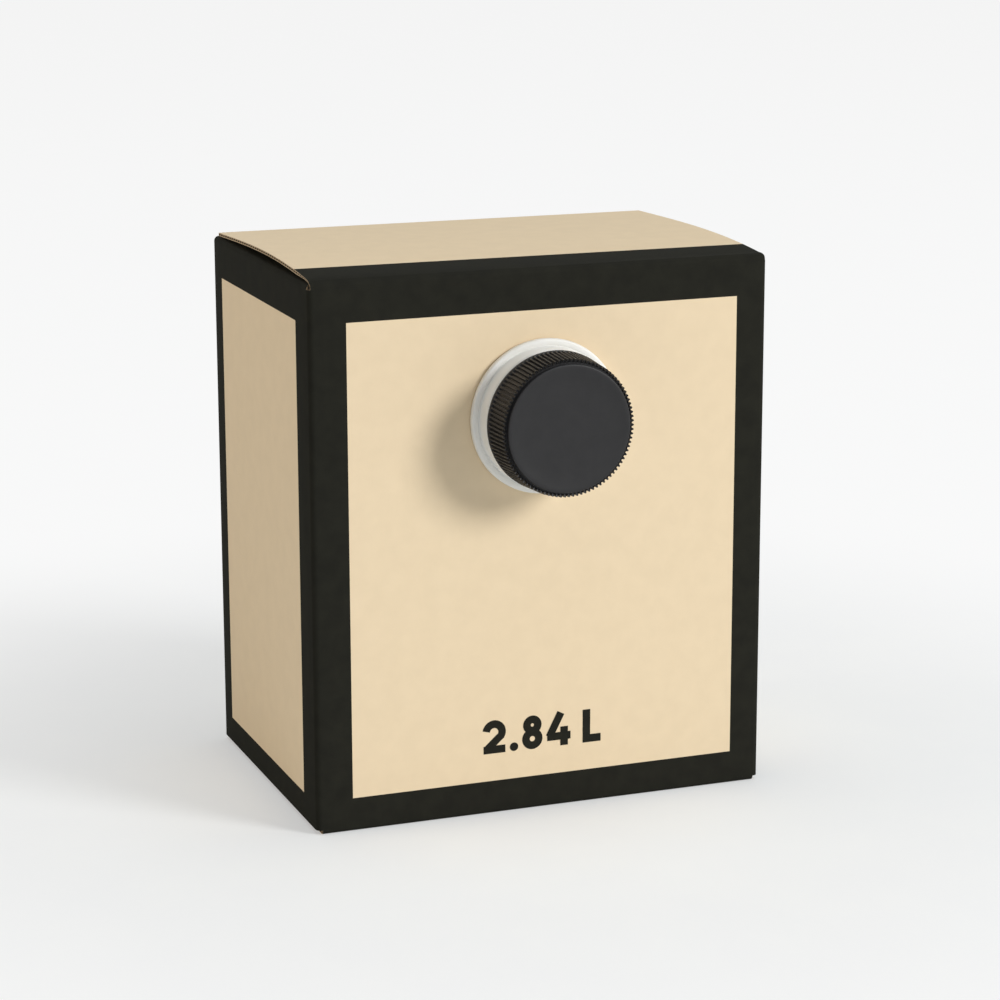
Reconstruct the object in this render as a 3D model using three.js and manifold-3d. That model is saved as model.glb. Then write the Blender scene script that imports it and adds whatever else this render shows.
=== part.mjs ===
// A coffee box: a folded board carton with a tuck-in lid, a filled bag inside it,
// and a moulded pouring spout with a ribbed screw cap on its front.
// Millimetres. +Z is up and the front faces -Y. The origin is the middle of the
// underside of the carton.
import * as THREE from "three";
import { mergeVertices } from "three/addons/utils/BufferGeometryUtils.js";
import Module from "manifold-3d";

// The carton, folded from one sheet of fine corrugated board.
const WIDTH = 160;
const DEPTH = 112;
const BOARD = 1.1;
const FOLD_RADIUS = 1.6;
const CORNER_RADIUS = 2;
const SIDE_TOP = 183.4;
const FRONT_TOP = 182.2;
const BACK_TOP = 182.4;
const CORNER_TOP = 182;
const DUST_FLAP_LENGTH = 48;
const DUST_FLAP_TAPER = 8;
const DUST_FLAP_FRONT_GAP = 8;
const DUST_FLAP_REAR_GAP = 11;
const BOTTOM_FLAP_LENGTH = 68;
const BOTTOM_INNER_FLAP = 58;
const BOTTOM_SLIT = 1;
const GLUE_FLAP_WIDTH = 16;
const GLUE_FLAP_TOP = 165;

// The lid, which turns up about the front fold, and its tuck-in tongue.
const LID_WIDTH = 158.4;
const LID_SHOULDER = 182.4;
const LID_START = 1.6;
const LID_START_HEIGHT = 183.6;
const LID_CROWN = 50;
const LID_CROWN_HEIGHT = 187.9;
const LID_END = 107;
const LID_END_HEIGHT = 184.3;
const TONGUE_FOLD = 2;
const TONGUE_LEAN = 1.7;
const TONGUE_WIDTH = 148;
const TONGUE_TIP = 166;
const TONGUE_CORNER = 12;

// The filled bag, which stands on the carton's floor.
const BAG_WIDTH = 154.8;
const BAG_FRONT = -52.8;
const BAG_BACK = 50.2;
const BAG_BOTTOM = 2.6;
const BAG_TOP = 175;
const BAG_CORNER = 14;
const BAG_EDGE = 9;

// The spout. Heights along it are counted outwards from the face of the front panel.
const SPOUT_Z = 135.6;
const HOLE_RADIUS = 22;
const BUSH_RADIUS = 21.7;
const BORE_RADIUS = 17;
const WELD_FLANGE_RADIUS = 27.5;
const WELD_FLANGE_BACK = -2.9;
const WELD_FLANGE_FRONT = -1.4;
const FLANGE_RADIUS = 25.9;
const FLANGE_BACK = 0.3;
const FLANGE_FRONT = 2.5;
const COLLAR_RADIUS = 23.3;
const COLLAR_FRONT = 8.9;
const NECK_RADIUS = 19.2;
const NECK_FRONT = 18.9;

// The cap and the sealing disc in it.
const CAP_BACK = 9.2;
const CAP_FRONT = 23.2;
const CAP_BACK_RADIUS = 23.4;
const CAP_FRONT_RADIUS = 22.7;
const FACE_RADIUS = 21.1;
const FACE_BAND = 2.5;
const FACE_DISH = 0.2;
const CAP_BORE_RADIUS = 20.6;
const CAP_CROWN_INSIDE = 20.5;
const RIB_COUNT = 98;
const RIB_BACK = 10.7;
const RIB_FRONT = 21.9;
const RIB_HEIGHT = 0.6;
const RIB_FOOT_SHARE = 0.36;
const RIB_CREST_SHARE = 0.22;
const DISC_RADIUS = 19.6;
const DISC_BACK = 19.2;
const DISC_FRONT = 20.2;

const FRONT_FACE = -DEPTH / 2;
const ROUND_STEPS = 92;
const FOLD_STEPS = 4;
const LID_STEPS = 16;

const wasm = await Module();
wasm.setup();

// A closed geometry as a solid that can be joined and cut.
function solid(geometry) {
  const bare = geometry.clone();
  bare.deleteAttribute("normal");
  bare.deleteAttribute("uv");
  const merged = mergeVertices(bare, 1e-4);
  const mesh = new wasm.Mesh({
    numProp: 3,
    vertProperties: new Float32Array(merged.attributes.position.array),
    triVerts: new Uint32Array(merged.index.array),
  });
  return new wasm.Manifold(mesh);
}

// A joined or cut solid as a geometry to draw.
function geometryOf(shape) {
  const mesh = shape.getMesh();
  const geometry = new THREE.BufferGeometry();
  geometry.setAttribute("position", new THREE.BufferAttribute(mesh.vertProperties, 3));
  geometry.setIndex(new THREE.BufferAttribute(mesh.triVerts, 1));
  const flat = geometry.toNonIndexed();
  flat.computeVertexNormals();
  return flat;
}

// A plain block between two corners.
function block(low, high) {
  const size = high.map((value, i) => value - low[i]);
  const geometry = new THREE.BoxGeometry(...size);
  geometry.translate(...low.map((value, i) => value + size[i] / 2));
  return solid(geometry);
}

// The outline of a rectangle with round corners.
function roundedRectangle(x0, x1, y0, y1, radius) {
  const shape = new THREE.Shape();
  shape.moveTo(x0 + radius, y0);
  shape.lineTo(x1 - radius, y0);
  shape.absarc(x1 - radius, y0 + radius, radius, -Math.PI / 2, 0);
  shape.lineTo(x1, y1 - radius);
  shape.absarc(x1 - radius, y1 - radius, radius, 0, Math.PI / 2);
  shape.lineTo(x0 + radius, y1);
  shape.absarc(x0 + radius, y1 - radius, radius, Math.PI / 2, Math.PI);
  shape.lineTo(x0, y0 + radius);
  shape.absarc(x0 + radius, y0 + radius, radius, Math.PI, 1.5 * Math.PI);
  return shape;
}

// An upright block with round corners and rounded top and bottom edges.
function softBlock(low, high, corner, edge, steps) {
  const outline = roundedRectangle(low[0], high[0], low[1], high[1], corner);
  const geometry = new THREE.ExtrudeGeometry(outline, {
    depth: high[2] - low[2] - 2 * edge,
    bevelThickness: edge,
    bevelSize: edge,
    bevelOffset: -edge,
    bevelSegments: steps,
    curveSegments: steps,
  });
  geometry.translate(0, 0, low[2] + edge);
  return solid(geometry);
}

// A flat sheet cut to an outline drawn in X and Y, lying on the given height.
function flatSheet(points, bottom, thickness) {
  const outline = new THREE.Shape(points.map(([x, y]) => new THREE.Vector2(x, y)));
  const geometry = new THREE.ExtrudeGeometry(outline, { depth: thickness, bevelEnabled: false });
  geometry.translate(0, 0, bottom);
  return solid(geometry);
}

// The outline of a bent sheet seen edge on, from the line along its middle.
function sheetOutline(middle, thickness) {
  const sideways = middle.map((point, i) => {
    const before = middle[Math.max(i - 1, 0)];
    const after = middle[Math.min(i + 1, middle.length - 1)];
    const along = after.clone().sub(before).normalize();
    return new THREE.Vector2(-along.y, along.x).multiplyScalar(thickness / 2);
  });
  const upper = middle.map((point, i) => point.clone().add(sideways[i]));
  const lower = middle.map((point, i) => point.clone().sub(sideways[i]));
  return new THREE.Shape([...lower, ...upper.reverse()]);
}

// A turned piece on the spout's axis, from a closed list of radius and height that
// goes outwards along the back and inwards along the front.
function turned(profile) {
  const points = profile.map(([radius, height]) => new THREE.Vector2(radius, FRONT_FACE - height));
  const geometry = new THREE.LatheGeometry(points.reverse(), ROUND_STEPS);
  geometry.translate(0, 0, SPOUT_Z);
  return solid(geometry);
}

// A quarter round in a profile, as points from one angle to another.
function arc(radius, height, size, from, to, steps) {
  return Array.from({ length: steps + 1 }, (_, i) => {
    const angle = THREE.MathUtils.degToRad(from + ((to - from) * i) / steps);
    return [radius + size * Math.cos(angle), height + size * Math.sin(angle)];
  });
}

// One dust flap, which folds in from the top of a side panel. side is -1 or 1.
function dustFlap(side) {
  const root = (side * WIDTH) / 2;
  const tip = side * (WIDTH / 2 - DUST_FLAP_LENGTH);
  const front = FRONT_FACE + DUST_FLAP_FRONT_GAP;
  const back = -FRONT_FACE - DUST_FLAP_REAR_GAP;
  const points = [
    [root, front],
    [tip, front + DUST_FLAP_TAPER],
    [tip, back - DUST_FLAP_TAPER],
    [root, back],
  ];
  return flatSheet(side < 0 ? points : points.reverse(), SIDE_TOP - BOARD, BOARD);
}

// The room between the tips of the two inner bottom flaps, on top of the outer two.
function bottomPocket() {
  const half = WIDTH / 2 - BOTTOM_INNER_FLAP;
  const deep = -FRONT_FACE - BOARD;
  return block([-half, -deep, BOARD], [half, deep, 3 * BOARD]);
}

// The slit under them where the front and back outer flaps meet.
function bottomSlit() {
  const start = FRONT_FACE + BOTTOM_FLAP_LENGTH;
  const half = WIDTH / 2 - BOARD;
  return block([-half, start, -BOARD], [half, start + BOTTOM_SLIT, BOARD]);
}

// The strip inside the right side panel that closes the sheet into a sleeve.
function glueFlap() {
  const bite = BOARD / 2;
  const outside = WIDTH / 2 - bite;
  const back = -FRONT_FACE - bite;
  const low = [outside - bite - BOARD, back - GLUE_FLAP_WIDTH, BOARD];
  return block(low, [outside, back, GLUE_FLAP_TOP]);
}

function carton() {
  const halfWidth = WIDTH / 2;
  const high = 2 * SIDE_TOP;
  const outside = softBlock(
    [-halfWidth, FRONT_FACE, 0],
    [halfWidth, -FRONT_FACE, SIDE_TOP],
    CORNER_RADIUS,
    FOLD_RADIUS,
    FOLD_STEPS,
  );
  const inside = block(
    [BOARD - halfWidth, FRONT_FACE + BOARD, 2 * BOARD],
    [halfWidth - BOARD, -FRONT_FACE - BOARD, high],
  );
  const aboveFront = block(
    [-WIDTH, -DEPTH, CORNER_TOP],
    [WIDTH, FRONT_FACE + DUST_FLAP_FRONT_GAP, high],
  );
  const aboveBack = block(
    [-WIDTH, -FRONT_FACE - DUST_FLAP_REAR_GAP, CORNER_TOP],
    [WIDTH, DEPTH, high],
  );
  const frontLip = block(
    [FOLD_RADIUS - halfWidth, FRONT_FACE, CORNER_TOP - BOARD],
    [halfWidth - FOLD_RADIUS, FRONT_FACE + BOARD, FRONT_TOP],
  );
  const backLip = block(
    [FOLD_RADIUS - halfWidth, -FRONT_FACE - BOARD, CORNER_TOP - BOARD],
    [halfWidth - FOLD_RADIUS, -FRONT_FACE, BACK_TOP],
  );
  const reach = DEPTH / 4;
  const hole = turned([
    [0, -reach],
    [HOLE_RADIUS, -reach],
    [HOLE_RADIUS, reach],
    [0, reach],
    [0, -reach],
  ]);
  return outside
    .subtract(inside)
    .subtract(aboveFront)
    .subtract(aboveBack)
    .add(frontLip)
    .add(backLip)
    .add(dustFlap(-1).intersect(outside))
    .add(dustFlap(1).intersect(outside))
    .add(glueFlap())
    .subtract(bottomPocket())
    .subtract(bottomSlit())
    .subtract(hole);
}

// The lid is a bowed panel that turns down at the back into its tongue.
function lid() {
  const start = FRONT_FACE + LID_START;
  const end = FRONT_FACE + LID_END;
  const bow = new THREE.QuadraticBezierCurve(
    new THREE.Vector2(start, LID_START_HEIGHT),
    new THREE.Vector2(FRONT_FACE + LID_CROWN, LID_CROWN_HEIGHT),
    new THREE.Vector2(end, LID_END_HEIGHT),
  );
  const fold = new THREE.QuadraticBezierCurve(
    new THREE.Vector2(end, LID_END_HEIGHT),
    new THREE.Vector2(end + TONGUE_FOLD, LID_END_HEIGHT),
    new THREE.Vector2(end + TONGUE_FOLD, LID_END_HEIGHT - TONGUE_FOLD),
  );
  const tip = new THREE.Vector2(end + TONGUE_FOLD - TONGUE_LEAN, TONGUE_TIP);
  const middle = [...bow.getPoints(LID_STEPS), ...fold.getPoints(FOLD_STEPS).slice(1), tip];
  const strip = new THREE.ExtrudeGeometry(sheetOutline(middle, BOARD), {
    depth: LID_WIDTH,
    bevelEnabled: false,
  });
  strip.translate(0, 0, -LID_WIDTH / 2);
  strip.applyMatrix4(new THREE.Matrix4().set(0, 0, 1, 0, 1, 0, 0, 0, 0, 1, 0, 0, 0, 0, 0, 1));

  const plan = new THREE.Shape();
  const half = LID_WIDTH / 2;
  const narrow = TONGUE_WIDTH / 2;
  const root = LID_SHOULDER;
  const tipLine = TONGUE_TIP - BOARD;
  plan.moveTo(-half, 2 * SIDE_TOP);
  plan.lineTo(-half, root);
  plan.lineTo(-narrow, root);
  plan.absarc(TONGUE_CORNER - narrow, tipLine + TONGUE_CORNER, TONGUE_CORNER, Math.PI, 1.5 * Math.PI);
  plan.absarc(narrow - TONGUE_CORNER, tipLine + TONGUE_CORNER, TONGUE_CORNER, 1.5 * Math.PI, 0);
  plan.lineTo(narrow, root);
  plan.lineTo(half, root);
  plan.lineTo(half, 2 * SIDE_TOP);
  const seenFromFront = new THREE.ExtrudeGeometry(plan, {
    depth: 2 * DEPTH,
    bevelEnabled: false,
    curveSegments: 6,
  });
  seenFromFront.rotateX(Math.PI / 2);
  seenFromFront.translate(0, DEPTH, 0);
  return solid(strip).intersect(solid(seenFromFront));
}

function innerBag() {
  const half = BAG_WIDTH / 2;
  return softBlock([-half, BAG_FRONT, BAG_BOTTOM], [half, BAG_BACK, BAG_TOP], BAG_CORNER, BAG_EDGE, 5);
}

// The spout is one moulding: a flange welded to the bag, a bush through the board,
// a flange on the outside, a collar and a neck for the cap.
function spout() {
  const rim = 0.9;
  const hollow = 1;
  const lip = 0.4;
  return turned([
    [BORE_RADIUS, WELD_FLANGE_BACK],
    [WELD_FLANGE_RADIUS, WELD_FLANGE_BACK],
    [WELD_FLANGE_RADIUS, WELD_FLANGE_FRONT],
    [BUSH_RADIUS, WELD_FLANGE_FRONT],
    [BUSH_RADIUS, FLANGE_BACK],
    [FLANGE_RADIUS, FLANGE_BACK],
    ...arc(FLANGE_RADIUS - rim, FLANGE_FRONT - rim, rim, 0, 90, 3),
    ...arc(COLLAR_RADIUS + hollow, FLANGE_FRONT + hollow, hollow, 270, 180, 3),
    [COLLAR_RADIUS, COLLAR_FRONT - lip],
    [COLLAR_RADIUS - lip, COLLAR_FRONT],
    [NECK_RADIUS, COLLAR_FRONT],
    [NECK_RADIUS, NECK_FRONT - lip],
    [NECK_RADIUS - lip, NECK_FRONT],
    [BORE_RADIUS, NECK_FRONT],
    [BORE_RADIUS, WELD_FLANGE_BACK],
  ]);
}

// The radius of the cap's rib roots at a height, on its slight taper.
function capRadius(height) {
  const share = (height - CAP_BACK) / (CAP_FRONT - CAP_BACK);
  return THREE.MathUtils.lerp(CAP_BACK_RADIUS, CAP_FRONT_RADIUS, share);
}

// The band of straight ribs round the cap, tapered like the cap.
function capRibs() {
  const pitch = (2 * Math.PI) / RIB_COUNT;
  const crest = capRadius(RIB_BACK);
  const root = crest - RIB_HEIGHT;
  const outline = new THREE.Shape();
  const points = [];
  for (let i = 0; i < RIB_COUNT; i += 1) {
    const middle = i * pitch;
    const foot = (pitch * RIB_FOOT_SHARE) / 2;
    const top = (pitch * RIB_CREST_SHARE) / 2;
    const corners = [
      [root, middle - foot],
      [crest, middle - top],
      [crest, middle + top],
      [root, middle + foot],
    ];
    for (const [radius, angle] of corners) {
      points.push(new THREE.Vector2(radius * Math.cos(angle), radius * Math.sin(angle)));
    }
  }
  outline.setFromPoints(points);
  const insideWall = (CAP_BORE_RADIUS + capRadius(RIB_FRONT) - RIB_HEIGHT) / 2;
  const hole = new THREE.Path();
  hole.absarc(0, 0, insideWall, 0, 2 * Math.PI, true);
  outline.holes.push(hole);
  const geometry = new THREE.ExtrudeGeometry(outline, {
    depth: RIB_FRONT - RIB_BACK,
    bevelEnabled: false,
    curveSegments: ROUND_STEPS / 2,
  });
  const positions = geometry.attributes.position;
  for (let i = 0; i < positions.count; i += 1) {
    const size = positions.getZ(i) > 0 ? capRadius(RIB_FRONT) / crest : 1;
    positions.setXY(i, positions.getX(i) * size, positions.getY(i) * size);
  }
  geometry.rotateX(Math.PI / 2);
  geometry.translate(0, FRONT_FACE - RIB_BACK, SPOUT_Z);
  return solid(geometry);
}

function cap() {
  const bead = 0.35;
  const rim = 0.4;
  const body = turned([
    [CAP_BORE_RADIUS, CAP_BACK],
    [CAP_BACK_RADIUS - bead, CAP_BACK],
    [CAP_BACK_RADIUS, CAP_BACK + bead],
    [CAP_BACK_RADIUS, RIB_BACK - bead],
    [CAP_BACK_RADIUS - RIB_HEIGHT, RIB_BACK],
    [capRadius(RIB_FRONT) - RIB_HEIGHT, RIB_FRONT],
    [FACE_RADIUS, RIB_FRONT + rim],
    ...arc(FACE_RADIUS - rim, CAP_FRONT - rim, rim, 0, 90, 3),
    [FACE_RADIUS - FACE_BAND, CAP_FRONT - FACE_DISH],
    [0, CAP_FRONT - FACE_DISH],
    [0, CAP_CROWN_INSIDE],
    [CAP_BORE_RADIUS, CAP_CROWN_INSIDE],
    [CAP_BORE_RADIUS, CAP_BACK],
  ]);
  return body.add(capRibs());
}

function capDisc() {
  return turned([
    [0, DISC_BACK],
    [DISC_RADIUS, DISC_BACK],
    [DISC_RADIUS, DISC_FRONT],
    [0, DISC_FRONT],
    [0, DISC_BACK],
  ]);
}

const printedBoard = new THREE.MeshStandardMaterial({ color: 0xead7b8, roughness: 0.75, metalness: 0 });
const bagFilm = new THREE.MeshStandardMaterial({ color: 0xc4c6c8, roughness: 0.3, metalness: 0.6 });
const whitePlastic = new THREE.MeshStandardMaterial({ color: 0xeeefec, roughness: 0.3, metalness: 0 });
const blackPlastic = new THREE.MeshStandardMaterial({ color: 0x2f2f31, roughness: 0.55, metalness: 0 });
const sealFoam = new THREE.MeshStandardMaterial({ color: 0xe6e4dc, roughness: 0.9, metalness: 0 });

function piece(name, shape, material) {
  const mesh = new THREE.Mesh(geometryOf(shape), material);
  mesh.name = name;
  return mesh;
}

const coffeeBox = new THREE.Group();
coffeeBox.add(piece("carton", carton(), printedBoard));
coffeeBox.add(piece("lid", lid(), printedBoard));
coffeeBox.add(piece("inner_bag", innerBag(), bagFilm));
coffeeBox.add(piece("spout", spout(), whitePlastic));
coffeeBox.add(piece("cap", cap(), blackPlastic));
coffeeBox.add(piece("cap_disc", capDisc(), sealFoam));

export default coffeeBox;
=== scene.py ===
import math

import bmesh
import bpy
from mathutils import Matrix, Vector, noise


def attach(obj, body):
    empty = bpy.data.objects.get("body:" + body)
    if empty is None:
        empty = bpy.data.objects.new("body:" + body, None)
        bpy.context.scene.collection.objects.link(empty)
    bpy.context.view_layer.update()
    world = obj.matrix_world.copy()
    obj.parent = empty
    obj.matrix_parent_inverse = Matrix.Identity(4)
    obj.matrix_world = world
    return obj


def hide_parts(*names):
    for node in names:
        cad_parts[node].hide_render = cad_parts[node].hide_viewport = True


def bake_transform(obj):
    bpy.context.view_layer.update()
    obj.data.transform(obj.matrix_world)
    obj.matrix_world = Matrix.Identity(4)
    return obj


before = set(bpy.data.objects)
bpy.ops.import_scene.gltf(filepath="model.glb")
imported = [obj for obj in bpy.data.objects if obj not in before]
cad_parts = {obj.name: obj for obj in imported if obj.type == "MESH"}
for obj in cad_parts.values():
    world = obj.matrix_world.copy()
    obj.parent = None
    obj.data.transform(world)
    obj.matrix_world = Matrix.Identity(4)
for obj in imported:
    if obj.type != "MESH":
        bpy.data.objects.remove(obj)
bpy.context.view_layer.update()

MM = 0.001

# Camera: it stands left of the box and a little above it, with a long lens. Its place was
# worked out from the box's own edges, so that they run as they do in the photo.
LENS, SENSOR = 110.04, 36
CAMERA_PLACE = Vector((-0.3590, -0.9687, 0.34625))
CAMERA_AZIMUTH = math.radians(20.63)
CAMERA_ELEVATION = math.radians(13.71)
CAMERA_ROLL = math.radians(-0.145)
camera_data = bpy.data.cameras.new("studio_camera")
camera_data.sensor_width = SENSOR
camera_data.lens = LENS
camera_data.clip_start = 0.05
camera_data.clip_end = 20
camera = bpy.data.objects.new("studio_camera", camera_data)
bpy.context.collection.objects.link(camera)
bpy.context.scene.camera = camera
camera.matrix_world = (
    Matrix.Translation(CAMERA_PLACE)
    @ Matrix.Rotation(-CAMERA_AZIMUTH, 4, "Z")
    @ Matrix.Rotation(math.radians(90) - CAMERA_ELEVATION, 4, "X")
    @ Matrix.Rotation(CAMERA_ROLL, 4, "Z")
)
bpy.context.scene.view_settings.view_transform = "Standard"


# Carton: one sheet of fine corrugated board, printed cream with broad black borders,
# creased round four corners and glued into a sleeve with its bottom flaps glued shut.
def srgb(red, green, blue):
    """A colour read off a swatch, as the linear values that a shader takes."""
    return [
        (v / 255 / 12.92) if v <= 10.3 else ((v / 255 + 0.055) / 1.055) ** 2.4
        for v in (red, green, blue)
    ] + [1.0]


def start_finish(name, roughness, specular=0.5):
    """A new material with its nodes, its shader and its object coordinates."""
    finish = bpy.data.materials.new(name)
    finish.use_nodes = True
    shader = finish.node_tree.nodes["Principled BSDF"]
    shader.inputs["Roughness"].default_value = roughness
    shader.inputs["Specular IOR Level"].default_value = specular
    place = finish.node_tree.nodes.new("ShaderNodeTexCoord")
    return finish, shader, place.outputs["Object"]


def grain(finish, source, scale, detail=4.0, stretch=(1, 1, 1)):
    """Fine noise over the object, which may be drawn out along one axis."""
    nodes, links = finish.node_tree.nodes, finish.node_tree.links
    spread = nodes.new("ShaderNodeMapping")
    spread.inputs["Scale"].default_value = stretch
    pattern = nodes.new("ShaderNodeTexNoise")
    pattern.inputs["Scale"].default_value = scale
    pattern.inputs["Detail"].default_value = detail
    links.new(source, spread.inputs["Vector"])
    links.new(spread.outputs["Vector"], pattern.inputs["Vector"])
    return pattern.outputs["Fac"]


def tint(finish, shader, pattern, dark, light, low=0.35, high=0.65):
    """The pattern colours the surface between a dark and a light value."""
    ramp = finish.node_tree.nodes.new("ShaderNodeValToRGB")
    ramp.color_ramp.elements[0].position = low
    ramp.color_ramp.elements[0].color = dark
    ramp.color_ramp.elements[1].position = high
    ramp.color_ramp.elements[1].color = light
    finish.node_tree.links.new(pattern, ramp.inputs["Fac"])
    finish.node_tree.links.new(ramp.outputs["Color"], shader.inputs["Base Color"])


def relief(finish, shader, patterns):
    """Small heights in metres, one bump after the other."""
    nodes, links = finish.node_tree.nodes, finish.node_tree.links
    last = None
    for pattern, height in patterns:
        bump = nodes.new("ShaderNodeBump")
        bump.inputs["Distance"].default_value = height
        links.new(pattern, bump.inputs["Height"])
        if last is not None:
            links.new(last, bump.inputs["Normal"])
        last = bump.outputs["Normal"]
    links.new(last, shader.inputs["Normal"])


def gloss_range(finish, shader, pattern, low, high):
    """The pattern varies the roughness between two values."""
    spread = finish.node_tree.nodes.new("ShaderNodeMapRange")
    spread.inputs["To Min"].default_value = low
    spread.inputs["To Max"].default_value = high
    finish.node_tree.links.new(pattern, spread.inputs["Value"])
    finish.node_tree.links.new(spread.outputs["Result"], shader.inputs["Roughness"])


def printed_finish(name, dark, light, roughness, specular):
    """Matt varnished print on board: paper grain, faint mottling and soft flute marks."""
    finish, shader, source = start_finish(name, roughness, specular)
    mottle = grain(finish, source, 160, 8)
    tint(finish, shader, mottle, dark, light)
    paper = grain(finish, source, 2600, 3)
    flutes = grain(finish, source, 240, 2, (1, 1, 0.06))
    relief(finish, shader, [(paper, 0.00002), (flutes, 0.00003)])
    gloss_range(finish, shader, mottle, roughness - 0.06, roughness + 0.06)
    return finish


PRINT_ROUGHNESS = 0.7
cream_print = printed_finish("cream_print", srgb(236, 216, 184), srgb(239, 219, 187), PRINT_ROUGHNESS, 0.12)
black_print = printed_finish("black_print", srgb(38, 38, 34), srgb(42, 42, 37), PRINT_ROUGHNESS, 0.01)

kraft_liner, kraft_shader, kraft_place = start_finish("kraft_liner", 0.85, 0.2)
kraft_fibre = grain(kraft_liner, kraft_place, 700, 8, (1, 1, 0.3))
tint(kraft_liner, kraft_shader, kraft_fibre, srgb(186, 163, 134), srgb(212, 190, 162))
relief(kraft_liner, kraft_shader, [(kraft_fibre, 0.00005)])

FLUTE_PITCH = 1.25 * MM
WAVE_LENGTH = 0.314  # of the wave pattern at a scale of 1, in metres
# The core's cut edge: its light bands are the kraft flute paper, and the near-black bands between them are
# painted shade for the hollows between the flutes.
flute_core, flute_shader, flute_place = start_finish("flute_core", 0.9, 0.1)
flute_paper_and_painted_hollow_shade = flute_core.node_tree.nodes.new("ShaderNodeTexWave")
flute_paper_and_painted_hollow_shade.bands_direction = "DIAGONAL"
flute_paper_and_painted_hollow_shade.inputs["Scale"].default_value = WAVE_LENGTH / FLUTE_PITCH
flute_core.node_tree.links.new(flute_place, flute_paper_and_painted_hollow_shade.inputs["Vector"])
tint(flute_core, flute_shader, flute_paper_and_painted_hollow_shade.outputs["Fac"], srgb(24, 20, 16), srgb(150, 128, 100))

BOARD = 1.1
LINER = 0.25
CREAM, BLACK, KRAFT, CORE = range(4)
BOARD_FINISHES = [cream_print, black_print, kraft_liner, flute_core]


def smooth_skin(mesh):
    """Shades every face smoothly and turns them all outwards."""
    for made in mesh.faces:
        made.smooth = True
    bmesh.ops.recalc_face_normals(mesh, faces=mesh.faces)
    return mesh


def board_strip(outline, stations, place, colour, press=lambda point: 1.0):
    """A bent sheet: outline is the outer face seen edge on, swept over the stations.
    place turns (outline point, station) into millimetres, colour names its print, and
    press says how far the flutes are flattened there, as at a crease."""
    points = [Vector(p) for p in outline]
    inward = []
    for i, point in enumerate(points):
        before = points[max(i - 1, 0)]
        after = points[min(i + 1, len(points) - 1)]
        along = (after - before).normalized()
        inward.append(Vector((-along.y, along.x)))
    layers = (0, LINER, BOARD - LINER, BOARD)
    mesh = bmesh.new()
    grid = {}
    last_point, last_station = len(points) - 1, len(stations) - 1
    for k, depth in enumerate(layers):
        for i, point in enumerate(points):
            for j, station in enumerate(stations):
                edge = i in (0, last_point) or j in (0, last_station)
                if k in (0, 3) or edge:
                    spot = place(point + inward[i] * depth * press(point), station)
                    grid[k, i, j] = mesh.verts.new(Vector(spot) * MM)

    def face(corners, slot):
        mesh.faces.new([grid[c] for c in corners]).material_index = slot

    for i in range(last_point):
        for j in range(last_station):
            printed = colour((points[i] + points[i + 1]) / 2, (stations[j] + stations[j + 1]) / 2)
            face([(0, i, j), (0, i, j + 1), (0, i + 1, j + 1), (0, i + 1, j)], printed)
            face([(3, i, j), (3, i + 1, j), (3, i + 1, j + 1), (3, i, j + 1)], KRAFT)
    for k in range(3):
        layer = CORE if k == 1 else KRAFT
        for i in range(last_point):
            face([(k, i, 0), (k, i + 1, 0), (k + 1, i + 1, 0), (k + 1, i, 0)], layer)
            j = last_station
            face([(k, i, j), (k + 1, i, j), (k + 1, i + 1, j), (k, i + 1, j)], layer)
        for j in range(last_station):
            face([(k, 0, j), (k + 1, 0, j), (k + 1, 0, j + 1), (k, 0, j + 1)], layer)
            i = last_point
            face([(k, i, j), (k, i, j + 1), (k + 1, i, j + 1), (k + 1, i, j)], layer)
    return smooth_skin(mesh)


def finished_piece(name, meshes, finishes, angle=40):
    """Joins the meshes into one named object that wears the finishes in order. Its edges
    are sharp past the angle, and where print meets the board's cut edge."""
    data = bpy.data.meshes.new(name)
    whole = bmesh.new()
    for part in meshes:
        part.to_mesh(data)
        whole.from_mesh(data)
        part.free()
    for edge in whole.edges:
        if len(edge.link_faces) == 2:
            printed = [face.material_index < KRAFT for face in edge.link_faces]
            sharp = edge.calc_face_angle(0) > math.radians(angle)
            edge.smooth = not sharp and printed[0] == printed[1]
    whole.to_mesh(data)
    whole.free()
    for finish in finishes:
        data.materials.append(finish)
    made = bpy.data.objects.new(name, data)
    bpy.context.collection.objects.link(made)
    return made


def bend(centre, radius, start, end, steps):
    """Points on an arc, in degrees, both ends included."""
    angles = [math.radians(start + (end - start) * i / steps) for i in range(steps + 1)]
    return [(centre[0] + radius * math.cos(a), centre[1] + radius * math.sin(a)) for a in angles]


WIDTH = 160
DEPTH = 112
HALF_WIDTH, HALF_DEPTH = WIDTH / 2, DEPTH / 2
FOLD = 2.0
SLEEVE_BOTTOM = 1.6
SLEEVE_TOP = 182.0
# The cream fields, each as its left, right, bottom and top.
FRONT_FIELD = (12.5 - HALF_WIDTH, HALF_WIDTH - 10.9, 11.6, 170.8)
SIDE_FIELD = (14.3 - HALF_DEPTH, HALF_DEPTH - 10.5, 10.65, 170.1)


def inside(field, across, height):
    """Whether a spot on a panel lies in its cream field."""
    return field[0] < across < field[1] and field[2] < height < field[3]


def sleeve_print(spot, height):
    """Cream inside the panel's field and black in its border."""
    if abs(spot.y) > HALF_DEPTH - FOLD / 4:
        return CREAM if inside(FRONT_FIELD, spot.x, height) else BLACK
    return CREAM if inside(SIDE_FIELD, spot.y, height) else BLACK


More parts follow.
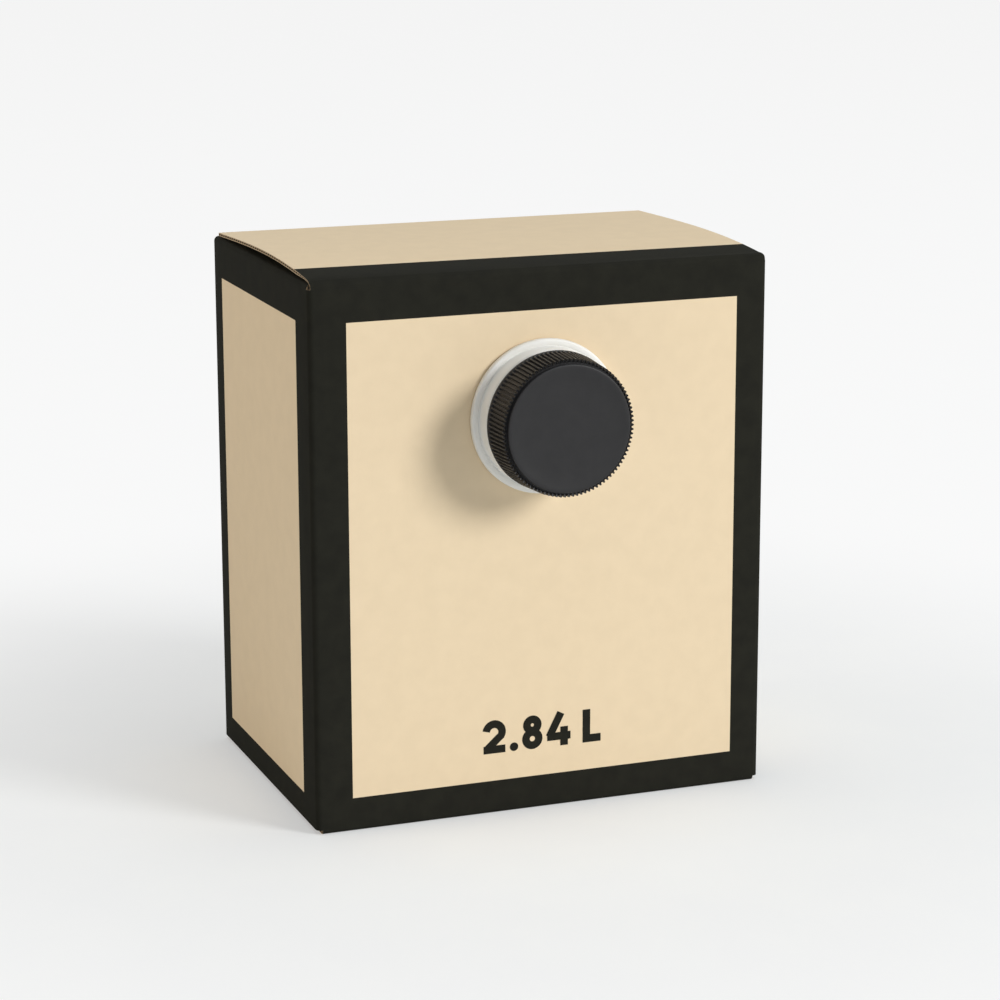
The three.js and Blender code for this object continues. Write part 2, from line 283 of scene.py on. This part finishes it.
corner_x, corner_y = HALF_WIDTH - FOLD, HALF_DEPTH - FOLD
sleeve_outline = [
    *[(HALF_WIDTH, y) for y in (corner_y - 0.3, SIDE_FIELD[1], SIDE_FIELD[0])],
    *bend((corner_x, -corner_y), FOLD, 0, -90, 6),
    *[(x, -HALF_DEPTH) for x in (FRONT_FIELD[1], FRONT_FIELD[0])],
    *bend((-corner_x, -corner_y), FOLD, -90, -180, 6),
    *[(-HALF_WIDTH, y) for y in (SIDE_FIELD[0], SIDE_FIELD[1])],
    *bend((-corner_x, corner_y), FOLD, 180, 90, 6),
    *[(x, HALF_DEPTH) for x in (FRONT_FIELD[0], FRONT_FIELD[1])],
    *bend((corner_x, corner_y), FOLD, 90, 4, 6),
]
sleeve = board_strip(
    [(x, -y) for x, y in sleeve_outline],
    [SLEEVE_BOTTOM, SIDE_FIELD[2], FRONT_FIELD[2], SIDE_FIELD[3], FRONT_FIELD[3], SLEEVE_TOP],
    lambda p, z: (p.x, -p.y, z),
    lambda p, z: sleeve_print(Vector((p.x, -p.y)), z),
)

DUST_FLAP_ROOT = HALF_DEPTH - 1.8
DUST_FLAP_CUT_IN = 7
DUST_FLAP_CUT_END = 8
DUST_FLAP_TAPER = 8
DUST_FLAP_MIDDLE, DUST_FLAP_TIP = 53, 33
DUST_FLAP_TOP = 183.7
DUST_FLAP_DROP = 0.9
DUST_FLAP_FOLD = 1.7
FOLD_WIDTH = 3
FOLD_PRESS = 0.4
LID_TWIST = 0.35


def dust_flap(side):
    """A flap that folds in from the top of one side panel; side is -1 or 1."""
    fold = DUST_FLAP_FOLD
    top = DUST_FLAP_TOP - (LID_TWIST if side > 0 else 0)
    outline = [
        *bend((fold - HALF_WIDTH, top - fold), fold, 180, 92, 6),
        *[(x - HALF_WIDTH, top) for x in (FOLD_WIDTH, 4.5, 6, DUST_FLAP_CUT_END)],
        (-DUST_FLAP_MIDDLE, top - DUST_FLAP_DROP * 0.6),
        (-DUST_FLAP_TIP, top - DUST_FLAP_DROP),
    ]

    def place(point, share):
        across = point.x + HALF_WIDTH
        cut_in = min(1.0, across / DUST_FLAP_CUT_END) ** 2 * DUST_FLAP_CUT_IN
        half = DUST_FLAP_ROOT - cut_in - DUST_FLAP_TAPER * across / (HALF_WIDTH - DUST_FLAP_TIP)
        return (-side * point.x, half * share, -point.y)

    return board_strip([(x, -z) for x, z in outline], [-1, 0, 1], place, lambda p, s: BLACK,
                       lambda p: FOLD_PRESS if p.x < FOLD_WIDTH - HALF_WIDTH else 1.0)


BOTTOM_FOLD = 1.6
FRONT_FLAP_END = 12.0
BACK_FLAP_END = 13.0
INNER_FLAP_END = 22.0


def outer_flap(side, end):
    """The flap under the front (-1) or back (1) panel, printed black like the border."""
    outline = [
        *bend((BOTTOM_FOLD - HALF_DEPTH, BOTTOM_FOLD), BOTTOM_FOLD, 180, 270, 6),
        (end, 0),
    ]
    half = HALF_WIDTH - FOLD
    return board_strip(outline, [-half, half], lambda p, x: (x, -side * p.x, p.y), lambda p, x: BLACK)


def inner_flap(side):
    """The flap under the left (-1) or right (1) panel, glued on top of the outer two."""
    outline = [
        *bend((BOTTOM_FOLD - HALF_WIDTH, BOTTOM_FOLD + BOARD), BOTTOM_FOLD, 180, 270, 6),
        (-INNER_FLAP_END, BOARD),
    ]
    half = HALF_DEPTH - FOLD
    return board_strip(outline, [-half, half], lambda p, y: (-side * p.x, y, p.y), lambda p, y: BLACK)


GLUE_FLAP_WIDTH = 16
GLUE_FLAP_LOW, GLUE_FLAP_HIGH = 4, 165
glue_x, glue_end = HALF_WIDTH - BOARD, HALF_DEPTH - BOARD
glue_flap = board_strip([(glue_x, -glue_end), (glue_x, GLUE_FLAP_WIDTH - glue_end)],
                        [GLUE_FLAP_LOW, GLUE_FLAP_HIGH],
                        lambda p, z: (p.x, -p.y, z), lambda p, z: KRAFT)

SPOUT_HEIGHT = 135.6
HOLE_RADIUS = 22
PUNCH_LENGTH = 20
hole_mesh = bmesh.new()
bmesh.ops.create_cone(hole_mesh, cap_ends=True, segments=96, radius1=HOLE_RADIUS * MM,
                      radius2=HOLE_RADIUS * MM, depth=PUNCH_LENGTH * MM)
punch = finished_piece("punch", [hole_mesh], [kraft_liner])
punch.matrix_world = (Matrix.Translation((0, -HALF_DEPTH * MM, SPOUT_HEIGHT * MM))
                      @ Matrix.Rotation(math.radians(90), 4, "X"))
blank = finished_piece("blank", [sleeve], BOARD_FINISHES)
spout_hole = blank.modifiers.new("spout_hole", "BOOLEAN")
spout_hole.operation = "DIFFERENCE"
spout_hole.object = punch
bpy.context.view_layer.update()
punched = bmesh.new()
punched.from_object(blank, bpy.context.evaluated_depsgraph_get())
bpy.data.objects.remove(punch)
bpy.data.objects.remove(blank)
carton = finished_piece(
    "carton_board",
    [punched, dust_flap(-1), dust_flap(1), outer_flap(-1, FRONT_FLAP_END),
     outer_flap(1, -BACK_FLAP_END), inner_flap(-1), inner_flap(1), glue_flap],
    BOARD_FINISHES,
)
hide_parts("carton")
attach(carton, "root")


# Lid: the carton's own sheet of printed board, which runs on over the crease at the front,
# bows up over the dust flaps and ends in a tongue that tucks in behind the back panel.
LID_HALF = 79.2
LID_LENGTH = 107.0
LID_FOLD_HEIGHT = 184.15
LID_BOW = 2.05
LID_RISE = 0.65
LID_TWIST_CROWN = 0.3
STRIP_END = 17.6
TONGUE_FOLD = 2.4
TONGUE_TIP = 166.0
TONGUE_HALF = 74.5
TONGUE_LEAN = 1.7
TONGUE_CORNER = 0.06
PANEL_LOW = 180
TWIST_START, TWIST_RUN = 1.0, 4.0
CREASE_START, CREASE_RUN = 1.5, 14
CREASE_PRESS = 0.35


def lid_height(depth):
    """The bowed top's height at a distance back from the front panel."""
    share = min(max(depth / LID_LENGTH, 0.0), 1.0)
    return LID_FOLD_HEIGHT + LID_BOW * math.sin(math.pi * share**0.8) + LID_RISE * share


front_fold = [
    (0, SLEEVE_TOP), (-0.02, 182.35), (0.1, 182.6), (0.08, 182.95), (0.3, 183.45), (0.75, 183.85),
    (1.3, 184.1), (1.75, 184.18), (2.2, 184.42),
]
top_depths = [3, 4, 5.5, 7, 9, 12, 15.5, STRIP_END, 23, *range(28, 95, 6), 99, 103, 105.5]
lid_end = lid_height(LID_LENGTH)
lid_outline = [
    *front_fold,
    *[(d, lid_height(d)) for d in top_depths],
    *bend((LID_LENGTH, lid_end - TONGUE_FOLD), TONGUE_FOLD, 90, 0, 6),
    (LID_LENGTH + TONGUE_FOLD - 0.9, 174),
    (LID_LENGTH + TONGUE_FOLD - TONGUE_LEAN + 0.1, TONGUE_TIP),
]


def lid_place(point, across):
    """Bows and twists the panel, and narrows the tongue towards its round corners."""
    depth, height = point.x, -point.y
    settle = min(max((depth - TWIST_START) / TWIST_RUN, 0.0), 1.0)
    crown = LID_TWIST + LID_TWIST_CROWN * math.sin(math.pi * min(max(depth / LID_LENGTH, 0), 1))
    narrow = 1.0
    if depth > LID_LENGTH + 0.1 or depth > DEPTH / 2 and height < lid_end - 2 * BOARD:
        down = (lid_end - height) / (lid_end - TONGUE_TIP)
        narrow = TONGUE_HALF / LID_HALF
        if abs(across) == LID_HALF:
            narrow -= TONGUE_CORNER * down**3
    lift = -across / HALF_WIDTH * crown * settle if height > PANEL_LOW else 0.0
    return (across * narrow, depth - HALF_DEPTH, height + lift)


lid_mesh = board_strip(
    [(d, -z) for d, z in lid_outline],
    [-LID_HALF, -LID_HALF / 2, 0, LID_HALF / 2, LID_HALF],
    lid_place,
    lambda p, x: BLACK if p.x < STRIP_END else CREAM,
    lambda p: min(1.0, CREASE_PRESS + (1 - CREASE_PRESS) * max(0.0, (p.x - CREASE_START) / CREASE_RUN)),
)
lid = finished_piece("lid_board", [lid_mesh], BOARD_FINISHES)
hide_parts("lid")
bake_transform(lid)


# Capacity mark: a plain printed figure low on the front, which says what the bag holds.
# It is a film of black ink in heavy round letters, laid down as bars, rings and discs.
INK = 0.05
INK_STEP = 0.0001
STROKE = 2.7
LETTER_HEIGHT = 11.6
MARK_BASE = 21.2
MARK_TOP = MARK_BASE + LETTER_HEIGHT
MARK_START = -21.5
FOOT = MARK_BASE + STROKE / 2


def ribbon(points):
    """A stroke of even width along the points, as one flat outline."""
    path = [Vector(p) for p in points]
    sides = []
    for i, point in enumerate(path):
        along = (path[min(i + 1, len(path) - 1)] - path[max(i - 1, 0)]).normalized()
        sides.append(Vector((-along.y, along.x)) * STROKE / 2)
    left = [p + s for p, s in zip(path, sides)]
    right = [p - s for p, s in zip(path, sides)]
    return left, right


def ink_solid(mesh, rows, closed=False):
    """Lays pairs of outline points down as a thin film of ink on the front panel, a hair
    over the stroke laid before it."""
    front = -HALF_DEPTH - INK - len(mesh.faces) * INK_STEP
    left, right = rows
    columns = []
    for a, b in zip(left, right):
        columns.append([mesh.verts.new(Vector((p.x, y, p.y)) * MM)
                        for p, y in ((a, front), (b, front), (b, -HALF_DEPTH), (a, -HALF_DEPTH))])
    count = len(columns)
    for i in range(count if closed else count - 1):
        one, two = columns[i], columns[(i + 1) % count]
        for k in range(4):
            mesh.faces.new((one[k], one[(k + 1) % 4], two[(k + 1) % 4], two[k]))
    if not closed:
        mesh.faces.new(columns[0])
        mesh.faces.new(list(reversed(columns[-1])))


def bars(mesh, *paths):
    for path in paths:
        ink_solid(mesh, ribbon(path))


def ring(mesh, centre, radius):
    turn = [i * math.pi / 32 for i in range(64)]
    rows = [[Vector((centre[0] + r * math.cos(a), centre[1] + r * math.sin(a))) for a in turn]
            for r in (radius + STROKE / 2, radius - STROKE / 2)]
    ink_solid(mesh, rows, closed=True)


def disc(mesh, centre, radius):
    turn = [math.pi / 2 - i * math.pi / 24 for i in range(1, 24)]
    rows = [[Vector((centre[0] + side * radius * math.cos(a), centre[1] + radius * math.sin(a)))
             for a in turn] for side in (-1, 1)]
    ink_solid(mesh, rows)


def figure_two(mesh, left):
    bowl = 2.85
    hook = bend((left + 3.8, MARK_TOP - STROKE / 2 - bowl), bowl, 172, -28, 16)
    hook += [(left + 4.6, MARK_BASE + 4.6), (left + 1.0, FOOT)]
    bars(mesh, hook, [(left, FOOT), (left + 7.8, FOOT)])


def decimal_point(mesh, middle):
    disc(mesh, (middle, MARK_BASE + 1.5), 1.5)


def figure_eight(mesh, middle):
    ring(mesh, (middle, MARK_BASE + 3.55), 2.3)
    ring(mesh, (middle, MARK_TOP - 3.2), 1.95)


def figure_four(mesh, left):
    bar, stem = MARK_BASE + 3.4, left + 6.1
    bars(mesh, [(left + 4.9, MARK_TOP), (left + 0.75, bar + 0.1)],
         [(left, bar), (left + 8.4, bar)], [(stem, MARK_BASE), (stem, MARK_BASE + 6.6)])


def litre_sign(mesh, stem):
    bars(mesh, [(stem, MARK_BASE), (stem, MARK_TOP)], [(stem, FOOT), (stem + 5.2, FOOT)])


mark = bmesh.new()
for sign, along in ((figure_two, 0), (decimal_point, 10.9), (figure_eight, 17.5), (figure_four, 22.9),
                    (litre_sign, 37.1)):
    sign(mark, MARK_START + along)
bmesh.ops.recalc_face_normals(mark, faces=mark.faces)
capacity_mark = finished_piece("capacity_mark", [mark], [black_print])
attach(capacity_mark, "root")


# Inner bag: a pillow of metallised film, welded round its edges and filled with coffee. It
# lies loose in the carton, takes its square shape and puckers along its edges.
BAG_LOW = Vector((-77.2, -52.6, 2.8))
BAG_HIGH = Vector((77.2, 50.0, 174.5))
BAG_ROUND = 15.0
BAG_CUTS = 44
SLACK, FOLD_DEPTH = 0.6, 1.7
FOLD_GRAIN = (0.05, 0.05, 0.03)
PUCKER_START, PUCKER = 0.72, 1.6
film, film_shader, film_place = start_finish("bag_film", 0.43)
film_shader.inputs["Metallic"].default_value = 0.85
film_cloud = grain(film, film_place, 60, 5)
tint(film, film_shader, film_cloud, srgb(166, 169, 172), srgb(184, 186, 189))
gloss_range(film, film_shader, film_cloud, 0.36, 0.5)
relief(film, film_shader, [(grain(film, film_place, 130, 5, (1, 1, 0.5)), 0.0006)])

bag_mesh = bmesh.new()
bmesh.ops.create_cube(bag_mesh, size=2)
bmesh.ops.subdivide_edges(bag_mesh, edges=bag_mesh.edges, cuts=BAG_CUTS, use_grid_fill=True)
bag_middle, bag_half = (BAG_LOW + BAG_HIGH) / 2, (BAG_HIGH - BAG_LOW) / 2
for vert in bag_mesh.verts:
    full = Vector([vert.co[i] * bag_half[i] for i in range(3)])
    core = Vector([max(min(full[i], bag_half[i] - BAG_ROUND), BAG_ROUND - bag_half[i]) for i in range(3)])
    out = (full - core).normalized()
    near_edge = sum(abs(vert.co[i]) > PUCKER_START for i in range(3)) / 3
    folds = noise.fractal(Vector([full[i] * FOLD_GRAIN[i] for i in range(3)]), 1.0, 2.1, 4)
    inset = max(0.0, SLACK + folds * FOLD_DEPTH) * (0.5 + PUCKER * near_edge)
    vert.co = (bag_middle + core + out * (BAG_ROUND - inset)) * MM
bag_piece = finished_piece("coffee_bag", [smooth_skin(bag_mesh)], [film], 80)
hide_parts("inner_bag")
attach(bag_piece, "root")


# Spout: one moulding in white plastic. Its rear flange is welded to the bag, its front
# flange clips over the panel, and a collar and a threaded neck stand in front of that.
white_plastic, white_shader, white_place = start_finish("white_plastic", 0.4, 0.4)
white_cloud = grain(white_plastic, white_place, 150, 3)
tint(white_plastic, white_shader, white_cloud, srgb(236, 236, 233), srgb(239, 239, 237))
gloss_range(white_plastic, white_shader, white_cloud, 0.36, 0.44)
relief(white_plastic, white_shader, [(white_cloud, 0.00001)])


def turned(profile, columns, radius_at=None):
    """Turns a closed outline of (radius, height) round the spout's axis. Heights run
    outwards from the front panel. radius_at may change a radius at each column."""
    mesh = bmesh.new()
    rows = []
    for index, (radius, height) in enumerate(profile):
        y = -HALF_DEPTH - height
        if radius == 0:
            rows.append([mesh.verts.new(Vector((0, y, SPOUT_HEIGHT)) * MM)])
            continue
        row = []
        for c in range(columns):
            angle = 2 * math.pi * c / columns
            reach = radius_at(radius, index, c) if radius_at else radius
            spot = (reach * math.cos(angle), y, SPOUT_HEIGHT + reach * math.sin(angle))
            row.append(mesh.verts.new(Vector(spot) * MM))
        rows.append(row)
    solid = profile[0][0] == 0
    around = rows if solid else rows + [rows[0]]
    for one, two in zip(around, around[1:]):
        for c in range(columns):
            d = (c + 1) % columns
            if len(one) == 1:
                mesh.faces.new((one[0], two[c], two[d]))
            elif len(two) == 1:
                mesh.faces.new((one[c], two[0], one[d]))
            else:
                mesh.faces.new((one[c], two[c], two[d], one[d]))
    return smooth_skin(mesh)


BORE_RADIUS = 17.0
NECK_RADIUS = 19.2
NECK_IN_HOLE = 21.7
COLLAR_RADIUS = 23.3
FLANGE_RADIUS = 25.9
WELD_RADIUS = 27.5
WELD_BACK, WELD_FRONT = -2.9, -1.4
spout_profile = [
    (BORE_RADIUS, WELD_BACK), (WELD_RADIUS - 0.3, WELD_BACK), (WELD_RADIUS, WELD_BACK + 0.3),
    (WELD_RADIUS, WELD_FRONT - 0.3), (WELD_RADIUS - 0.3, WELD_FRONT), (NECK_IN_HOLE, WELD_FRONT),
    (NECK_IN_HOLE, 0.05), (23.0, 0.05), (23.2, 0.35), (25.5, 0.35),
    *bend((FLANGE_RADIUS - 0.45, 0.8), 0.45, -80, 0, 4), *bend((FLANGE_RADIUS - 0.8, 1.7), 0.8, 0, 84, 6),
    (24.4, 2.52), (24.0, 2.35), (23.75, 2.05), (23.55, 2.0), (23.4, 2.2), (COLLAR_RADIUS, 2.8),
    (COLLAR_RADIUS - 0.05, 5.0), (COLLAR_RADIUS - 0.12, 7.5), (COLLAR_RADIUS - 0.4, 7.75),
    *bend((COLLAR_RADIUS - 0.4, 8.35), 0.42, -60, 85, 6),
    (COLLAR_RADIUS - 0.9, 8.75), (NECK_RADIUS + 0.4, 8.9), (NECK_RADIUS, 9.2),
    (NECK_RADIUS, 18.1), *bend((NECK_RADIUS - 0.6, 18.3), 0.6, 0, 90, 4),
    *bend((BORE_RADIUS + 0.5, 18.4), 0.5, 90, 180, 4),
]
THREAD_TURNS = 1.9
THREAD_START = 10.3
THREAD_CLIMB = 6.84
THREAD_HEIGHT = 0.95
THREAD_ROOT, THREAD_CREST = 0.9, 0.35
THREAD_FADE = 12
THREAD_STEPS = 150


def neck_thread():
    """One start of a right-hand thread, which fades out at both ends."""
    mesh = bmesh.new()
    rings = []
    root = NECK_RADIUS - 0.2
    for i in range(THREAD_STEPS + 1):
        share = i / THREAD_STEPS
        angle = 2 * math.pi * THREAD_TURNS * share
        fade = min(1.0, share * THREAD_FADE, (1 - share) * THREAD_FADE)
        height = THREAD_START + THREAD_CLIMB * (1 - share)
        crest = NECK_RADIUS + THREAD_HEIGHT * fade
        section = [(root, -THREAD_ROOT), (crest, -THREAD_CREST), (crest, THREAD_CREST), (root, THREAD_ROOT)]
        rings.append([mesh.verts.new(Vector((r * math.cos(angle), -HALF_DEPTH - height - h,
                                             SPOUT_HEIGHT + r * math.sin(angle))) * MM)
                      for r, h in section])
    for one, two in zip(rings, rings[1:]):
        for k in range(4):
            mesh.faces.new((one[k], one[(k + 1) % 4], two[(k + 1) % 4], two[k]))
    mesh.faces.new(rings[0])
    mesh.faces.new(list(reversed(rings[-1])))
    return smooth_skin(mesh)


SPOUT_COLUMNS = 192
spout_mesh = turned(spout_profile, SPOUT_COLUMNS)
spout = finished_piece("spout_moulding", [spout_mesh, neck_thread()], [white_plastic], 50)
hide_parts("spout")
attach(spout, "root")


# Cap: a moulded charcoal plastic cap that screws onto the neck. Fine straight ribs stand
# between two plain bands, and its flat face has a softly raised rim.
cap_plastic, cap_shader, cap_place = start_finish("cap_plastic", 0.45, 0.32)
cap_cloud = grain(cap_plastic, cap_place, 260, 5)
tint(cap_plastic, cap_shader, cap_cloud, srgb(30, 30, 32), srgb(33, 33, 35))
gloss_range(cap_plastic, cap_shader, cap_cloud, 0.4, 0.5)
relief(cap_plastic, cap_shader, [(grain(cap_plastic, cap_place, 3200, 2), 0.00002)])
RIB_COUNT = 98
RIB_SHAPE = (0.0, 0.0, 0.0, 0.9, 1.0, 0.9)
RIB_HEIGHT = 0.75
CAP_BACK, CAP_FRONT = 9.2, 23.2
CAP_BACK_RADIUS, CAP_FRONT_RADIUS = 23.4, 22.7
FACE_RADIUS = 21.1
FACE_EDGE = 0.35
RIB_BACK, RIB_FRONT = 10.6, 22.1
GROOVE = 0.6
CAP_INSIDE, CAP_CEILING = 20.6, 20.5


def cap_radius(height):
    """The ribs' outer radius, which draws in a little towards the front."""
    share = (height - CAP_BACK) / (CAP_FRONT - CAP_BACK)
    return CAP_BACK_RADIUS + (CAP_FRONT_RADIUS - CAP_BACK_RADIUS) * share


rib_rows = [RIB_BACK + 0.2, RIB_BACK + 0.5, RIB_FRONT - 0.35, RIB_FRONT - 0.05]
cap_profile = [
    (0, CAP_FRONT - 0.3), (14.0, CAP_FRONT - 0.28), (18.2, CAP_FRONT - 0.2), (19.4, CAP_FRONT - 0.04),
    (20.2, CAP_FRONT), *bend((FACE_RADIUS - FACE_EDGE, CAP_FRONT - FACE_EDGE), FACE_EDGE, 90, 0, 5),
    (FACE_RADIUS, RIB_FRONT - GROOVE), (FACE_RADIUS + 0.5, RIB_FRONT - GROOVE),
    *[(cap_radius(h), h) for h in reversed(rib_rows)],
    (CAP_BACK_RADIUS - 0.1, RIB_BACK), (CAP_BACK_RADIUS, RIB_BACK - 0.15),
    *bend((CAP_BACK_RADIUS - 0.4, CAP_BACK + 0.4), 0.4, 0, -75, 4),
    (CAP_BACK_RADIUS - 0.5, CAP_BACK), (CAP_INSIDE, CAP_BACK), (CAP_INSIDE, CAP_CEILING - 0.4),
    (CAP_INSIDE - 0.4, CAP_CEILING), (0, CAP_CEILING),
]
cap_columns = RIB_COUNT * len(RIB_SHAPE)
rib_heights = set(rib_rows)


def ribbed_radius(radius, index, column):
    """Cuts the grooves between the ribs, in the ribbed rows alone."""
    height = cap_profile[index][1]
    if height in rib_heights:
        return radius - RIB_HEIGHT * (1 - RIB_SHAPE[column % len(RIB_SHAPE)])
    return radius


cap_mesh = turned(cap_profile, cap_columns, ribbed_radius)
cap = finished_piece("screw_cap", [cap_mesh], [cap_plastic], 35)
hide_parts("cap")
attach(cap, "cap")


# Sealing disc: a round of foamed plastic, stamped from sheet and pressed into the cap,
# which closes on the neck's lip. Its solid shape is the part's own, and it is coloured here.
foam, foam_shader, foam_place = start_finish("seal_foam", 0.9, 0.2)
foam_cells = grain(foam, foam_place, 1800, 4)
tint(foam, foam_shader, foam_cells, srgb(222, 219, 210), srgb(236, 234, 227))
relief(foam, foam_shader, [(foam_cells, 0.00006)])
disc_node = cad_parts["cap_disc"]
disc_node.data.materials.clear()
disc_node.data.materials.append(foam)


# Studio: the box stands on one broad pale sheet in a white room, under a broad soft lamp
# at the front right, a weaker warm one at the left and a cool one overhead. The sheet looks
# lit from within, more so with distance from the box, and still takes the box's shadow.
FLOOR_REACH = 9.0
NEAR_LIFT, FAR_LIFT = 0.4, 0.88
NEAR, FAR = 0.09, 0.38
SHEET_GLOW = 0.98
ROOM_LIGHT, ROOM_WARMTH = 0.27, (1, 0.96, 0.9, 1)
ROOM_WHITE = 0.95
paper_sheet, paper_shader, paper_place = start_finish("studio_sheet", 0.9, 0.1)
paper_cloud = grain(paper_sheet, paper_place, 30, 2)
tint(paper_sheet, paper_shader, paper_cloud, srgb(246, 250, 253), srgb(248, 252, 254))


def seen_directly(tree):
    """1 for rays from the camera, off gloss or through clear things, and 0 for light."""
    paths = tree.nodes.new("ShaderNodeLightPath")
    last = paths.outputs["Is Camera Ray"]
    for kind in ("Is Glossy Ray", "Is Transmission Ray"):
        either = tree.nodes.new("ShaderNodeMath")
        either.operation = "MAXIMUM"
        tree.links.new(last, either.inputs[0])
        tree.links.new(paths.outputs[kind], either.inputs[1])
        last = either.outputs["Value"]
    return last


nodes, links = paper_sheet.node_tree.nodes, paper_sheet.node_tree.links
distance = nodes.new("ShaderNodeVectorMath")
distance.operation = "LENGTH"
links.new(paper_place, distance.inputs[0])
by_distance = nodes.new("ShaderNodeMapRange")
by_distance.interpolation_type = "SMOOTHSTEP"
by_distance.inputs["From Min"].default_value = NEAR
by_distance.inputs["From Max"].default_value = FAR
by_distance.inputs["To Min"].default_value = NEAR_LIFT
by_distance.inputs["To Max"].default_value = FAR_LIFT
links.new(distance.outputs["Value"], by_distance.inputs["Value"])
lifted = nodes.new("ShaderNodeMath")
lifted.operation = "MULTIPLY"
links.new(seen_directly(paper_sheet.node_tree), lifted.inputs[0])
links.new(by_distance.outputs["Result"], lifted.inputs[1])
glow = nodes.new("ShaderNodeEmission")
glow.inputs["Color"].default_value = (SHEET_GLOW, SHEET_GLOW, SHEET_GLOW, 1)
blend_white = nodes.new("ShaderNodeMixShader")
links.new(lifted.outputs["Value"], blend_white.inputs["Fac"])
links.new(paper_shader.outputs["BSDF"], blend_white.inputs[1])
links.new(glow.outputs["Emission"], blend_white.inputs[2])
links.new(blend_white.outputs["Shader"], nodes["Material Output"].inputs["Surface"])
sheet_mesh = bmesh.new()
bmesh.ops.create_grid(sheet_mesh, x_segments=8, y_segments=8, size=FLOOR_REACH)
studio_sheet = finished_piece("studio_sheet", [sheet_mesh], [paper_sheet])

world = bpy.data.worlds.new("soft_room")
bpy.context.scene.world = world
world.use_nodes = True
room = world.node_tree
room.nodes["Background"].inputs["Color"].default_value = ROOM_WARMTH
room.nodes["Background"].inputs["Strength"].default_value = ROOM_LIGHT
white_room = room.nodes.new("ShaderNodeBackground")
white_room.inputs["Color"].default_value = (ROOM_WHITE, ROOM_WHITE, ROOM_WHITE, 1)
either_room = room.nodes.new("ShaderNodeMixShader")
room.links.new(seen_directly(room), either_room.inputs["Fac"])
room.links.new(room.nodes["Background"].outputs["Background"], either_room.inputs[1])
room.links.new(white_room.outputs["Background"], either_room.inputs[2])
room.links.new(either_room.outputs["Shader"], room.nodes["World Output"].inputs["Surface"])


def soft_lamp(name, place, aim, size, power, colour):
    """A round lamp that faces its aim, with its size in metres and its power in watts."""
    data = bpy.data.lights.new(name, "AREA")
    data.shape = "DISK"
    data.size = size
    data.energy = power
    data.color = colour
    lamp = bpy.data.objects.new(name, data)
    bpy.context.collection.objects.link(lamp)
    lamp.location = place
    lamp.rotation_euler = (Vector(aim) - Vector(place)).to_track_quat("-Z", "Y").to_euler()


soft_lamp("key_lamp", (2.44, -2.8, 1.58), (0, 0, 0.1), 1.4, 107, (1, 0.985, 0.96))
soft_lamp("fill_lamp", (-2.0, 0.45, 0.9), (0, 0, 0.1), 1.2, 8.2, (1, 0.83, 0.63))
soft_lamp("top_lamp", (0.1, 0.1, 2.5), (0.1, 0.1, 0), 1.4, 14, (0.82, 0.92, 1))
